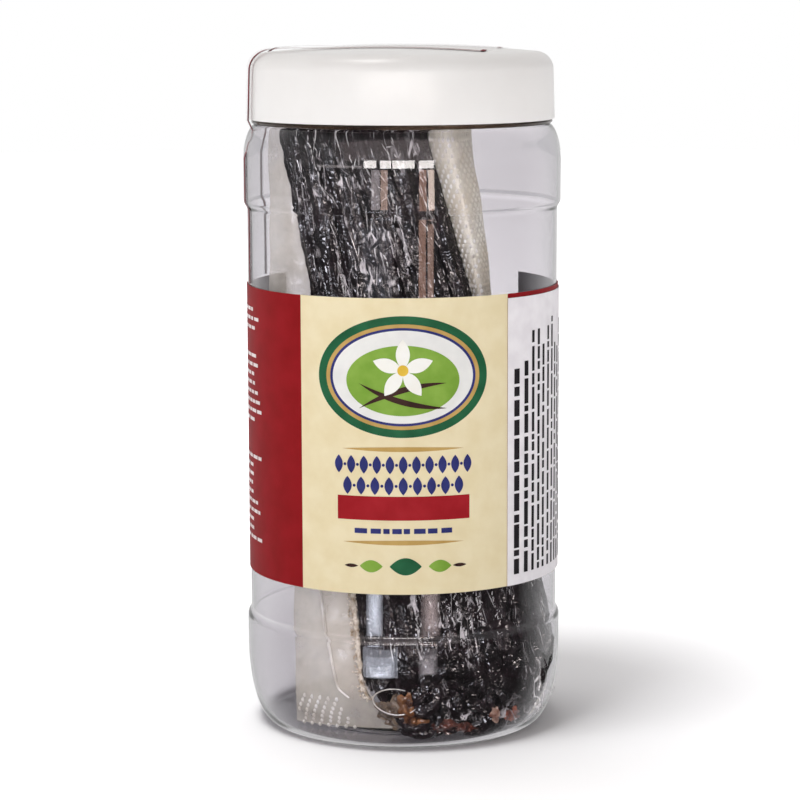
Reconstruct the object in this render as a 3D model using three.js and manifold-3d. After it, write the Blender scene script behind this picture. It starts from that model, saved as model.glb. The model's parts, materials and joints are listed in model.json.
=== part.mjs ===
// A clear plastic jar of vanilla pods, shut with a white screw cap.
// A bundle of about sixty cured pods is vacuum packed in a clear embossed pouch, and the pouch stands
// in the jar on a slant. A printed label wraps most of the jar, a paper sticker covers the label's
// right-hand panel, and a narrow seal strip runs from the label's top edge up the left side and over
// the cap.
// Millimetres, +Z up. The origin is the centre of the base, and the front of the label faces -Y.
import * as THREE from "three";
import { mergeVertices } from "three/addons/utils/BufferGeometryUtils.js";
import Module from "manifold-3d";

const wasm = await Module();
wasm.setup();

// Jar
const SEGMENTS = 44; // facets round the jar and its cap
const BAND_R = 43.9; // the recessed band that carries the label
const BUMPER_R = 44.9; // the two wider bands above and below it
const NECK_R = 40.7;
const WALL = 0.9;
const BASE_THICK = 1.1;
const FOOT_R = 37.8; // outer radius of the flat standing ring
const RECESS_R = 29; // the underside is raised inside this radius
const RECESS_H = 1.2;
const HEEL_H = 23; // height of the rounded heel
const LOW_STEP_Z = 31.8;
const HIGH_STEP_Z = 148.6;
const STEP_H = 2.6;
const SHOULDER_LOW_Z = 162;
const SHOULDER_HIGH_Z = 171.5;
const JAR_TOP_Z = 186.4;

// Cap
const CAP_BOTTOM_Z = 172.5;
const CAP_TOP_Z = 193.1;
const CAP_R = 43.1; // at the open edge
const CAP_DRAFT = 0.4; // how much narrower the skirt is at its top
const CAP_CORNER = 5;
const CAP_DOME_R = 390; // radius of the gently crowned top
const CAP_WALL = 1.3;

// Label, sticker and seal strip
const LABEL_LOW_Z = 44.9;
const LABEL_HIGH_Z = 126.3;
const LABEL_HALF_ANGLE = THREE.MathUtils.degToRad(127.5);
const LABEL_THICK = 0.25;
const STICKER_FROM = THREE.MathUtils.degToRad(40.3);
const STICKER_TO = THREE.MathUtils.degToRad(126);
const STICKER_THICK = 0.2;
const STICKER_MARGIN = 1.2; // of the label left showing above the sticker
const SKIN_GAP = 0.12;
const STRIP_THICK = 0.25;
const STRIP_WIDTH = 30;
const STRIP_Y = 3.9; // its middle line on the left side of the jar
const STRIP_LENGTH = 73.5; // over the cap, from the left side of the jar to its end
const STRIP_TURN = THREE.MathUtils.degToRad(-13.7); // it crosses the cap's top a little askew

// Bundle of pods: an oval section that leans across the jar
const BUNDLE_LOW_Z = 3;
const BUNDLE_HIGH_Z = 182;
const BUNDLE_FOOT_X = 17.8;
const BUNDLE_LEAN = -0.189; // mm across for each mm up
const BUNDLE_BELLY = 4;
const BUNDLE_FRONT_Y = -21.5; // centre of the section at the bottom
const BUNDLE_BACK_Y = 4; // and at the top
const BUNDLE_HALF_WIDTH = 29.4; // at the bottom
const BUNDLE_NARROWING = 0.049; // mm less for each mm up
const BUNDLE_HALF_DEPTH = 13.6;
const BUNDLE_TURN = THREE.MathUtils.degToRad(20); // of the section, at the bottom
const BUNDLE_ROUND_H = 15; // height over which the lower end rounds off

// Pods
const POD_COUNT = 24; // round the outside of the bundle
const POD_HALF_WIDTH = 3.1;
const POD_HALF_THICK = 2.4;
const POD_SIDES = 6;
const POD_STEPS = 8;
const HOOK_COUNT = 6; // curled pod ends across the front of the foot
const HOOK_RADIUS = 5.2;
const HOOK_HALF_THICK = 2.4;

// Pouch
const FILM = 0.6;
const FILM_GAP = 0.35;
const POUCH_SIDES = 24;
const POUCH_LEVELS = 8;
const POUCH_TOP_Z = 185.5;
const FLAP_THICK = 1.0;
const LEFT_FLAP_X = [-30.6, -38]; // its outer edge at the bottom and at the top
const RIGHT_FLAP_X = [40, 18];
const FLAP_BACK = 5; // how far a flap's edge bends back

// Random numbers from 0 to 1 that are the same on every run.
function seeded(seed) {
  let state = seed;
  return () => {
    state = (state * 1103515245 + 12345) % 2147483648;
    return state / 2147483648;
  };
}

const smooth = (u) => THREE.MathUtils.smoothstep(u, 0, 1);
const mix = THREE.MathUtils.lerp;

// A closed three.js geometry as a manifold-3d solid, with shared vertices merged.
function solid(geometry) {
  const bare = new THREE.BufferGeometry();
  bare.setAttribute("position", geometry.getAttribute("position"));
  bare.setIndex(geometry.getIndex());
  const merged = mergeVertices(bare, 1e-4);
  const index = merged.getIndex().array;
  const kept = [];
  for (let i = 0; i < index.length; i += 3) {
    const [a, b, c] = [index[i], index[i + 1], index[i + 2]];
    if (a !== b && b !== c && c !== a) kept.push(a, b, c);
  }
  return new wasm.Manifold(
    new wasm.Mesh({
      numProp: 3,
      vertProperties: new Float32Array(merged.getAttribute("position").array),
      triVerts: new Uint32Array(kept),
    }),
  );
}

// A manifold-3d solid as a three.js geometry.
function geometryOf(manifold) {
  const mesh = manifold.getMesh();
  const geometry = new THREE.BufferGeometry();
  geometry.setAttribute("position", new THREE.BufferAttribute(new Float32Array(mesh.vertProperties), 3));
  geometry.setIndex(new THREE.BufferAttribute(new Uint32Array(mesh.triVerts), 1));
  geometry.computeVertexNormals();
  return geometry;
}

// A profile of [radius, height] pairs turned round the Z axis, starting at the front.
function turned(profile) {
  const points = profile.map(([r, z]) => new THREE.Vector2(r, z));
  return new THREE.LatheGeometry(points, SEGMENTS).rotateX(Math.PI / 2);
}

// Moves every vertex of a geometry to the place that a function gives for it.
function shaped(geometry, place) {
  const position = geometry.getAttribute("position");
  const vertex = new THREE.Vector3();
  for (let i = 0; i < position.count; i += 1) {
    vertex.fromBufferAttribute(position, i);
    const at = place(vertex);
    position.setXYZ(i, at.x, at.y, at.z);
  }
  return geometry;
}

// Points of a quarter ellipse, from its low end on the foot to its upright end.
function heel(footR, lowZ, topR, topZ, steps) {
  const points = [];
  for (let i = 0; i <= steps; i += 1) {
    const angle = (i / steps) * (Math.PI / 2);
    points.push([mix(footR, topR, Math.sin(angle)), mix(topZ, lowZ, Math.cos(angle))]);
  }
  return points;
}

// Points of a smooth S from one radius and height to another.
function sweep(fromR, fromZ, toR, toZ, steps) {
  const points = [];
  for (let i = 0; i <= steps; i += 1) {
    const u = i / steps;
    points.push([mix(fromR, toR, smooth(u)), mix(fromZ, toZ, u)]);
  }
  return points;
}

// The jar's wall above its foot, at a distance inside the outer face.
function wallProfile(inset) {
  const bumper = BUMPER_R - inset;
  const band = BAND_R - inset;
  return [
    ...sweep(bumper, LOW_STEP_Z - STEP_H / 2, band, LOW_STEP_Z + STEP_H / 2, 2),
    ...sweep(band, HIGH_STEP_Z - STEP_H / 2, bumper, HIGH_STEP_Z + STEP_H / 2, 2),
    ...sweep(bumper, SHOULDER_LOW_Z, NECK_R - inset, SHOULDER_HIGH_Z, 3),
    [NECK_R - inset, JAR_TOP_Z],
  ];
}

// The jar's inner face, or a face at some clearance inside it, from the middle of the floor to the rim.
function insideProfile(clearance) {
  const floorZ = BASE_THICK + clearance;
  const inset = WALL + clearance;
  return [
    [0, floorZ + RECESS_H],
    [RECESS_R - 2, floorZ + RECESS_H],
    [RECESS_R - 0.5, floorZ],
    ...heel(FOOT_R - inset / 2, floorZ, BUMPER_R - inset, HEEL_H, 5),
    ...wallProfile(inset),
  ];
}

function jar() {
  const outer = [
    [0, RECESS_H],
    [RECESS_R - 1.5, RECESS_H],
    [RECESS_R, 0],
    ...heel(FOOT_R, 0, BUMPER_R, HEEL_H, 5),
    ...wallProfile(0),
  ];
  return turned([...outer, ...insideProfile(0).reverse()]);
}

// The cap's crowned top at a radius, lowered by the depth below its outer face.
const crown = (r, depth) => CAP_TOP_Z - depth - (r * r) / (2 * CAP_DOME_R);

// The cap's outer face, or a face at some depth inside or clearance outside it, from its edge to its middle.
function capFace(depth, bottomZ) {
  const topR = CAP_R - CAP_DRAFT - depth;
  const bend = CAP_CORNER - depth;
  const cornerR = topR - bend;
  const cornerZ = crown(cornerR, depth) - bend;
  const points = [[CAP_R - depth, bottomZ]];
  for (let i = 0; i <= 4; i += 1) {
    const angle = (i / 4) * (Math.PI / 2);
    points.push([cornerR + bend * Math.cos(angle), cornerZ + bend * Math.sin(angle)]);
  }
  points.push([cornerR / 2, crown(cornerR / 2, depth)], [0, crown(0, depth)]);
  return points;
}

function cap() {
  const inner = capFace(CAP_WALL, CAP_BOTTOM_Z).reverse();
  return turned([...inner, ...capFace(0, CAP_BOTTOM_Z)]);
}

// A thin sheet wrapped round the jar between two angles, counted from the front towards +X.
function wrapped(innerR, thick, fromAngle, toAngle, lowZ, highZ) {
  const steps = Math.ceil(((toAngle - fromAngle) / (2 * Math.PI)) * SEGMENTS);
  const start = fromAngle - Math.PI / 2;
  const end = toAngle - Math.PI / 2;
  const outline = new THREE.Shape();
  outline.absarc(0, 0, innerR + thick, start, end, false);
  outline.absarc(0, 0, innerR, end, start, true);
  const options = { depth: highZ - lowZ, bevelEnabled: false, curveSegments: steps };
  return new THREE.ExtrudeGeometry(outline, options).translate(0, 0, lowZ);
}

function label() {
  const innerR = BAND_R + SKIN_GAP;
  return wrapped(innerR, LABEL_THICK, -LABEL_HALF_ANGLE, LABEL_HALF_ANGLE, LABEL_LOW_Z, LABEL_HIGH_Z);
}

function sticker() {
  const innerR = BAND_R + SKIN_GAP + LABEL_THICK + SKIN_GAP;
  const highZ = LABEL_HIGH_Z - STICKER_MARGIN;
  return wrapped(innerR, STICKER_THICK, STICKER_FROM, STICKER_TO, LABEL_LOW_Z, highZ);
}

// The face that the seal strip lies on, and bridges where the neck draws in under the cap.
function stripFace(clearance) {
  const band = BAND_R + clearance;
  const bumper = BUMPER_R + clearance;
  return [
    [band, LABEL_HIGH_Z + 0.5],
    ...sweep(band, HIGH_STEP_Z - STEP_H / 2, bumper, HIGH_STEP_Z + STEP_H / 2, 2),
    [bumper, SHOULDER_LOW_Z + 1],
    ...capFace(-clearance, CAP_BOTTOM_Z),
  ];
}

function strip() {
  const under = stripFace(SKIN_GAP);
  const over = stripFace(SKIN_GAP + STRIP_THICK);
  const shell = solid(turned([...under.reverse(), ...over]));
  const spare = 10; // of the block beyond the jar's side
  const block = new THREE.BoxGeometry(STRIP_LENGTH + spare, STRIP_WIDTH, CAP_TOP_Z);
  block.translate((STRIP_LENGTH - spare) / 2, 0, CAP_TOP_Z).rotateZ(STRIP_TURN).translate(-BUMPER_R, STRIP_Y, 0);
  return geometryOf(shell.intersect(solid(block)));
}

// The middle, half sizes and turn of the bundle's oval section at a height.
function section(z) {
  const rise = THREE.MathUtils.clamp(z / BUNDLE_HIGH_Z, 0, 1);
  const belly = BUNDLE_BELLY * Math.sin(Math.PI * rise);
  const below = Math.max(0, BUNDLE_LOW_Z + BUNDLE_ROUND_H - z) / BUNDLE_ROUND_H;
  const full = Math.sqrt(Math.max(0.4, 1 - 0.6 * below * below));
  return {
    x: BUNDLE_FOOT_X + BUNDLE_LEAN * z + belly,
    y: mix(BUNDLE_FRONT_Y, BUNDLE_BACK_Y, rise),
    halfWidth: (BUNDLE_HALF_WIDTH - BUNDLE_NARROWING * z) * full,
    halfDepth: BUNDLE_HALF_DEPTH * full,
    turn: BUNDLE_TURN * (1 - rise),
  };
}

// A point of the bundle: across and deep are shares of the section's half sizes, less an inset in mm.
function inBundle(across, deep, z, inset) {
  const s = section(z);
  const u = across * (s.halfWidth - inset);
  const v = deep * (s.halfDepth - inset);
  const x = s.x + u * Math.cos(s.turn) - v * Math.sin(s.turn);
  const y = s.y + u * Math.sin(s.turn) + v * Math.cos(s.turn);
  return new THREE.Vector3(x, y, z);
}

// An upright unit cylinder stretched over the bundle's section, grown by some clearance.
function sleeve(clearance, lowZ, highZ) {
  const tube = new THREE.CylinderGeometry(1, 1, 1, POUCH_SIDES, POUCH_LEVELS).rotateX(Math.PI / 2);
  return shaped(tube, (v) => {
    const rise = Math.pow(v.z + 0.5, 1.5);
    return inBundle(v.x, v.y, mix(lowZ, highZ, rise), -clearance);
  });
}

// A tapered rod with an oval section: a unit sphere drawn out along a path of points.
// Its outward direction at each step sets which way its thin side lies.
function rod(path, halfWidth, halfThick, outward) {
  const ball = new THREE.SphereGeometry(1, POD_SIDES, POD_STEPS).rotateX(Math.PI / 2);
  return shaped(ball, (v) => {
    const t = (1 - v.z) / 2;
    const at = path(t);
    const along = path(Math.min(1, t + 0.01)).sub(path(Math.max(0, t - 0.01))).normalize();
    const out = outward(t).clone().addScaledVector(along, -outward(t).dot(along)).normalize();
    const side = new THREE.Vector3().crossVectors(along, out);
    const ring = Math.hypot(v.x, v.y) || 1e-6;
    const full = Math.pow(Math.min(1, ring), 0.6);
    at.addScaledVector(side, (v.x / ring) * halfWidth * full);
    at.addScaledVector(out, (v.y / ring) * halfThick * full);
    return at;
  });
}

// The pods round the outside of the bundle, each wandering a little along its length.
function outerPods() {
  const random = seeded(7);
  const pods = [];
  for (let i = 0; i < POD_COUNT; i += 1) {
    const angle = ((i + 0.3 * random()) / POD_COUNT) * 2 * Math.PI;
    const lowZ = BUNDLE_LOW_Z + 1 + 7 * random();
    const highZ = BUNDLE_HIGH_Z - 9 * random();
    const sway = 0.1 + 0.08 * random();
    const phase = 2 * Math.PI * random();
    const halfWidth = POD_HALF_WIDTH * (0.85 + 0.3 * random());
    const where = (t) => angle + sway * Math.sin(phase + 5 * t);
    const path = (t) => {
      const a = where(t);
      return inBundle(Math.cos(a), Math.sin(a), mix(highZ, lowZ, t), POD_HALF_THICK);
    };
    const outward = (t) => {
      const s = section(mix(highZ, lowZ, t));
      const u = Math.cos(where(t)) / s.halfWidth;
      const v = Math.sin(where(t)) / s.halfDepth;
      const x = u * Math.cos(s.turn) - v * Math.sin(s.turn);
      const y = u * Math.sin(s.turn) + v * Math.cos(s.turn);
      return new THREE.Vector3(x, y, 0).normalize();
    };
    pods.push(solid(rod(path, halfWidth, POD_HALF_THICK, outward)));
  }
  return pods;
}

// Curled ends that lie across the front of the bundle's foot.
function hooks() {
  const random = seeded(23);
  const ends = [];
  for (let i = 0; i < HOOK_COUNT; i += 1) {
    const across = mix(-0.62, 0.72, i / (HOOK_COUNT - 1));
    const z = 13 + 16 * random();
    const centre = inBundle(across, -Math.sqrt(1 - across * across), z, HOOK_HALF_THICK + 1.2);
    const start = Math.PI * (0.3 + 0.5 * random());
    const way = random() > 0.5 ? 1 : -1;
    const path = (t) => {
      const a = start + way * t * Math.PI * 1.1;
      const x = centre.x + HOOK_RADIUS * Math.cos(a);
      return new THREE.Vector3(x, centre.y + 0.25 * (x - centre.x), centre.z + HOOK_RADIUS * Math.sin(a));
    };
    ends.push(solid(rod(path, HOOK_HALF_THICK, HOOK_HALF_THICK, () => new THREE.Vector3(0, -1, 0))));
  }
  return ends;
}

// The room inside the jar at some clearance from its wall.
function room(clearance) {
  return solid(turned([...insideProfile(clearance), [0, JAR_TOP_Z]]));
}

// The largest connected surface of a solid, without its loose bits and its closed hollows.
function largest(manifold) {
  return manifold.decompose().sort((a, b) => b.volume() - a.volume())[0];
}

function pods() {
  const core = solid(sleeve(-POD_HALF_THICK, BUNDLE_LOW_Z + 2, BUNDLE_HIGH_Z - 6));
  const inside = solid(sleeve(0, BUNDLE_LOW_Z, BUNDLE_HIGH_Z));
  const fused = wasm.Manifold.union([core, ...outerPods(), ...hooks()]);
  return geometryOf(largest(fused.intersect(inside).intersect(room(2 * FILM_GAP + FILM))));
}

// A thin flap from the side of the bundle to an outer edge, bent back towards that edge.
// The drift says how far the edge has moved from its lower to its upper place at a share of the height.
function flap(edgeX, side, drift) {
  const sheet = new THREE.BoxGeometry(1, 1, 1, 3, 1, 7);
  return shaped(sheet, (v) => {
    const rise = v.z + 0.5;
    const z = mix(BUNDLE_LOW_Z + 4, POUCH_TOP_Z - 3, rise);
    const root = inBundle(side * 0.9, 0, z, 0);
    const out = 0.5 + side * v.x;
    const x = mix(root.x, mix(edgeX[0], edgeX[1], drift(rise)), out);
    const y = root.y + FLAP_BACK * out * out + v.y * FLAP_THICK;
    return new THREE.Vector3(x, y, z);
  });
}

function pouch() {
  const lowZ = BUNDLE_LOW_Z - FILM_GAP;
  const outside = solid(sleeve(FILM_GAP + FILM, lowZ - FILM, POUCH_TOP_Z));
  const inside = solid(sleeve(FILM_GAP, lowZ, POUCH_TOP_Z + 4)).intersect(room(FILM_GAP + FILM));
  const left = solid(flap(LEFT_FLAP_X, -1, (rise) => smooth((rise - 0.15) / 0.6)));
  const right = solid(flap(RIGHT_FLAP_X, 1, (rise) => rise));
  const whole = wasm.Manifold.union([outside, left, right]).intersect(room(FILM_GAP));
  return geometryOf(whole.subtract(inside));
}

function piece(name, geometry, material) {
  const mesh = new THREE.Mesh(geometry, new THREE.MeshStandardMaterial(material));
  mesh.name = name;
  return mesh;
}

const clearPet = { color: 0xe4e5ea, roughness: 0.05, metalness: 0, transparent: true, opacity: 0.25 };
const whitePlastic = { color: 0xf4f3f2, roughness: 0.25, metalness: 0 };
const printedFilm = { color: 0xeadfb8, roughness: 0.35, metalness: 0 };
const whitePaper = { color: 0xdcd6da, roughness: 0.5, metalness: 0 };
const sealFilm = { color: 0xe6d8da, roughness: 0.3, metalness: 0, transparent: true, opacity: 0.6 };
const vacuumFilm = { color: 0xcfcabc, roughness: 0.35, metalness: 0, transparent: true, opacity: 0.45 };
const curedPod = { color: 0x1f1416, roughness: 0.35, metalness: 0 };

const group = new THREE.Group();
group.add(piece("jar", jar(), clearPet));
group.add(piece("cap", cap(), whitePlastic));
group.add(piece("label", label(), printedFilm));
group.add(piece("side_sticker", sticker(), whitePaper));
group.add(piece("seal_strip", strip(), sealFilm));
group.add(piece("pouch", pouch(), vacuumFilm));
group.add(piece("pods", pods(), curedPod));

export default group;
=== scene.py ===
"""A shut clear jar of vanilla pods: blow moulded PET jar, white screw cap, printed wrap label, paper
sticker, seal strip, and a bundle of cured pods in a tight vacuum pouch that leans across the jar.

Lengths are in millimetres until a mesh is made; those of materials and the stage are in metres. The jar
stands on z = 0 and the front of its label faces -Y.
"""

import json
import math

import bpy
import numpy as np
from mathutils import Matrix, Vector

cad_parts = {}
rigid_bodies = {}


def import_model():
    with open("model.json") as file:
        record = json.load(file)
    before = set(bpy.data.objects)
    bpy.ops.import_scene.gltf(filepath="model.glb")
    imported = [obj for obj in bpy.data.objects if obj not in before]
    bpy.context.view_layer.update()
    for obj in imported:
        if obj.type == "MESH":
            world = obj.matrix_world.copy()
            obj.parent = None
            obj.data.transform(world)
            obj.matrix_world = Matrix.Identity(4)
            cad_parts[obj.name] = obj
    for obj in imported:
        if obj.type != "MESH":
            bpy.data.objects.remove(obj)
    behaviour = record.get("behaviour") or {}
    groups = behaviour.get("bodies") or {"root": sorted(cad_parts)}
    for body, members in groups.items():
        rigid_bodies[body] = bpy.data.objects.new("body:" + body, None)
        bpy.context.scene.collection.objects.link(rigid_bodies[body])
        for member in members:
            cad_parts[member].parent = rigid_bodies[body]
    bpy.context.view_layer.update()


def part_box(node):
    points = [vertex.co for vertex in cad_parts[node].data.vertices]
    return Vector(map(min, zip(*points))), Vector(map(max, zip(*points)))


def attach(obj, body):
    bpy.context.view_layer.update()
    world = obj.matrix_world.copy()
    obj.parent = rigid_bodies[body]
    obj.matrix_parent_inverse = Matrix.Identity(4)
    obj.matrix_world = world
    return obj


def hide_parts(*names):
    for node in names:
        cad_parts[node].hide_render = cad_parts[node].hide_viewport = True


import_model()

MM = 0.001
SHARP_ANGLE = math.radians(40)

# Camera, as fitted to the photograph
CAMERA_PLACE = (-0.8, -764.0, 206.8)
CAMERA_DOWN = math.radians(8.54)
CAMERA_ROLL = math.radians(-0.2)
SENSOR = 36.0
LENS = 121.2

# Jar
TURNS = 224
BAND_R = 43.9
BUMPER_R = 44.9
NECK_R = 40.7
WALL = 0.9
FLOOR_THICK = 1.1
FOOT_R = 37.8
RECESS_R = 29.0
RECESS_H = 1.2
HEEL_H = 23.0
LOW_STEP_Z = 31.8
HIGH_STEP_Z = 148.6
STEP_H = 2.6
SHOULDER_LOW_Z = 160.8
SHOULDER_HIGH_Z = 171.5
BEAD_Z = 171.9

# Cap
CAP_R = 43.1
CAP_DRAFT = 0.4
CAP_CORNER = 5.0
CAP_DOME_R = 390.0
CAP_WALL = 1.3

# Label, sticker and seal strip
LABEL_HALF_ANGLE = math.radians(127.5)
PANEL_FROM = math.radians(-38.9)
PANEL_TO = math.radians(40.3)
STICKER_TO = math.radians(126.0)
SKIN_GAP = 0.12
LABEL_THICK = 0.25
INK_THICK = 0.02
INK_LIFT = 0.04
LABEL_R = BAND_R + SKIN_GAP + LABEL_THICK
STICKER_R = LABEL_R + SKIN_GAP + 0.2
STRIP_WIDTH = 30.0
STRIP_Y = 3.9
STRIP_LENGTH = 73.5
STRIP_TURN = math.radians(-13.7)
STRIP_SLACK = 1.0

# Bundle of pods
BUNDLE_LOW_Z = 3.0
BUNDLE_HIGH_Z = 182.0
BUNDLE_FOOT_X = 17.8
BUNDLE_LEAN = -0.189
BUNDLE_BELLY = 4.0
BUNDLE_FRONT_Y = -21.5
BUNDLE_BACK_Y = 4.0
BUNDLE_HALF_WIDTH = 29.4
BUNDLE_NARROWING = 0.049
BUNDLE_HALF_DEPTH = 13.6
BUNDLE_TURN = math.radians(20)
BUNDLE_ROUND_H = 15.0
POD_COUNT = 26
POD_HALF_WIDTH = 2.9
POD_HALF_THICK = 2.2
# Counts of the film's creases, whose white spindles are painted glints
CREASE_GLINT_ROWS = 124
LOOSE_CREASE_GLINTS = 340
CRUMBS = 420
DOT_PITCH = 2.6
DOT_R = 0.55

# Window panes of the stage: the distance from the jar's axis in metres, and how much nearer the next is
PANE_DISTANCE = 0.34
PANE_STEP = 0.003

# First words of the names of the pieces inside the jar
INSIDE = ("vanilla", "curled", "torn", "hugging", "film", "pouch", "embossed")


# Small tools

def linear(code):
    """An sRGB hex colour as the linear RGBA that shaders take."""
    channels = [int(code[i:i + 2], 16) / 255 for i in (1, 3, 5)]
    return [c / 12.92 if c <= 0.04045 else ((c + 0.055) / 1.055) ** 2.4 for c in channels] + [1.0]


def smooth(u):
    """A smooth step from 0 to 1 as u goes from 0 to 1."""
    u = np.clip(u, 0, 1)
    return u * u * (3 - 2 * u)


def mix(a, b, u):
    """A number or point that goes from a to b as u goes from 0 to 1."""
    return a + (b - a) * u


def unit(vectors):
    """Vectors of the same directions and a length of 1."""
    return vectors / np.maximum(np.linalg.norm(vectors, axis=-1, keepdims=True), 1e-9)


def rotated(u, v, turn):
    """Two coordinates turned about their origin by an angle."""
    return u * np.cos(turn) - v * np.sin(turn), u * np.sin(turn) + v * np.cos(turn)


def joined(*axes):
    """Points from arrays of their coordinates, which broadcast together."""
    return np.stack(np.broadcast_arrays(*axes), -1)


def round_angles(count):
    """Angles evenly spaced round a full turn."""
    return np.linspace(0, 2 * np.pi, count, endpoint=False)


def ripples(u, v, wavelength, count, seed):
    """A sum of sine waves of about one wavelength, in random directions, from about -1 to 1."""
    random = np.random.default_rng(seed)
    total = np.zeros(np.broadcast(u, v).shape)
    for _ in range(count):
        turn, phase = random.uniform(0, 2 * np.pi, 2)
        k = 2 * np.pi / (wavelength * random.uniform(0.7, 1.5))
        total += np.sin(k * (u * np.cos(turn) + v * np.sin(turn)) + phase)
    return total / np.sqrt(count)


# Meshes from arrays: a shell is its points, its four-sided and its three-sided faces

def outward(shell):
    """The same closed shell with its faces turned so that the volume inside is positive."""
    points, quads, triangles = shell
    split = np.concatenate([quads[:, [0, 1, 2]], quads[:, [0, 2, 3]], triangles])
    a, b, c = (points[split[:, i]] for i in range(3))
    if np.einsum("ij,ij->i", a, np.cross(b, c)).sum() < 0:
        return points, quads[:, ::-1], triangles[:, ::-1]
    return shell


def grid_quads(rows, columns, closed_columns):
    """Faces between neighbouring points of a grid, whose last column may join its first."""
    row = np.arange(rows - 1)[:, None] * columns
    left = np.arange(columns if closed_columns else columns - 1)[None, :]
    right = (left + 1) % columns
    corners = [row + left, row + right, row + columns + right, row + columns + left]
    return np.stack(corners, -1).reshape(-1, 4)


def tube(grid):
    """A closed shell from rings of points, whose first and last rings close on their middles."""
    rows, columns = grid.shape[:2]
    ends = np.stack([grid[0].mean(0), grid[-1].mean(0)])
    points = np.concatenate([grid.reshape(-1, 3), ends])
    ring = np.arange(columns)
    beside = (ring + 1) % columns
    last = (rows - 1) * columns
    first_pole = np.full(columns, rows * columns)
    triangles = np.concatenate([
        np.stack([first_pole, beside, ring], -1),
        np.stack([first_pole + 1, last + ring, last + beside], -1),
    ])
    return outward((points, grid_quads(rows, columns, True), triangles))


def slab(grid, thick):
    """A closed thin sheet: the grid moved half its thickness each way along its normals, with an edge."""
    rows, columns = grid.shape[:2]
    half = unit(np.cross(np.gradient(grid, axis=0), np.gradient(grid, axis=1))) * thick / 2
    count = rows * columns
    points = np.concatenate([(grid + half).reshape(-1, 3), (grid - half).reshape(-1, 3)])
    face = grid_quads(rows, columns, False)
    index = np.arange(count).reshape(rows, columns)
    rim = np.concatenate([index[0, :-1], index[:-1, -1], index[-1, :0:-1], index[:0:-1, 0]])
    beside = np.roll(rim, -1)
    edge = np.stack([beside, rim, rim + count, beside + count], -1)
    quads = np.concatenate([face, face[:, ::-1] + count, edge])
    return outward((points, quads, np.zeros((0, 3), int)))


def turned(profile):
    """Rings of points from a profile of [radius, height] pairs turned round the Z axis."""
    r, z = np.asarray(profile, float).T
    angle = round_angles(TURNS)
    return joined(r[:, None] * np.cos(angle), r[:, None] * np.sin(angle), z[:, None])


def on_round(angle, z, radius):
    """Points on an upright cylinder; the angle is counted from the front towards +X."""
    return joined(radius * np.sin(angle), -radius * np.cos(angle), z)


def piece(name, shells, materials, replaced=(), paint=None):
    """One piece from closed shells; paint gives each face's material from its middle point in mm."""
    points, quads, triangles, start = [], [], [], 0
    for shell in shells:
        points.append(shell[0])
        quads.append(shell[1] + start)
        triangles.append(shell[2] + start)
        start += len(shell[0])
    points, quads, triangles = (np.concatenate(part) for part in (points, quads, triangles))
    corners = np.concatenate([quads.ravel(), triangles.ravel()])
    sizes = np.concatenate([np.full(len(quads), 4), np.full(len(triangles), 3)])
    mesh = bpy.data.meshes.new(name)
    mesh.vertices.add(len(points))
    mesh.vertices.foreach_set("co", (points * MM).astype(np.float32).ravel())
    mesh.loops.add(len(corners))
    mesh.loops.foreach_set("vertex_index", corners.astype(np.int32))
    mesh.polygons.add(len(sizes))
    mesh.polygons.foreach_set("loop_start", (np.cumsum(sizes) - sizes).astype(np.int32))
    if paint is not None:
        middles = np.concatenate([points[quads].mean(1), points[triangles].mean(1)])
        mesh.polygons.foreach_set("material_index", paint(middles).astype(np.int32))
    mesh.update(calc_edges=True)
    mesh.polygons.foreach_set("use_smooth", np.ones(len(sizes), bool))
    mesh.set_sharp_from_angle(angle=SHARP_ANGLE)
    for material in materials:
        mesh.materials.append(material)
    made = bpy.data.objects.new(name, mesh)
    bpy.context.scene.collection.objects.link(made)
    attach(made, "root")
    if replaced:
        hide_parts(*replaced)
    return made


# Materials

def add(material, kind, inputs=None, **settings):
    """Adds a node: its settings first, then its inputs, each a value, an output or a node.

    A node stands for its first output."""
    node = material.node_tree.nodes.new("ShaderNode" + kind)
    for key, value in settings.items():
        setattr(node, key, value)
    for key, value in (inputs or {}).items():
        if isinstance(value, bpy.types.Node):
            value = value.outputs[0]
        if isinstance(value, bpy.types.NodeSocket):
            material.node_tree.links.new(value, node.inputs[key])
        else:
            node.inputs[key].default_value = value
    return node


def new_material(name):
    """An empty material and its Object coordinates."""
    material = bpy.data.materials.new(name)
    material.use_nodes = True
    material.node_tree.nodes.clear()
    return material, add(material, "TexCoord").outputs["Object"]


def show(material, shader):
    """Ends a material with the shader of its surface."""
    add(material, "OutputMaterial", {"Surface": shader})
    return material


def mottled(material, place, low, high, scale, detail=4.0):
    """A colour that wanders between two hex colours with noise of a given scale."""
    noise = add(material, "TexNoise", {"Vector": place, "Scale": scale, "Detail": detail})
    spread = add(material, "MapRange", {"Value": noise, "From Min": 0.35, "From Max": 0.65})
    colour = add(material, "Mix", {
        0: spread, 6: linear(low), 7: linear(high)}, data_type="RGBA")
    return colour.outputs[2]


def bumped(material, place, scale, detail, strength, depth, distortion=0.0):
    """Noise of a given scale, and the bump by which it raises a surface by up to the depth.

    A scale of 1000 makes grains about 1 mm wide. The grain of the cap and the fibres of paper and print
    are drawn coarser than the real ones, so that they show."""
    noise = add(material, "TexNoise", {
        "Vector": place, "Scale": scale, "Detail": detail, "Distortion": distortion})
    bump = add(material, "Bump", {"Height": noise, "Strength": strength, "Distance": depth})
    return noise, bump


def finish(name, colours, sockets, grain=None):
    """A finish from the colours of its mottling, constant sockets and, if it has one, its bumped grain."""
    material, place = new_material(name)
    inputs = {"Base Color": mottled(material, place, *colours)} | sockets
    if grain:
        inputs["Normal"] = bumped(material, place, *grain)[1]
    return show(material, add(material, "BsdfPrincipled", inputs))


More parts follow.
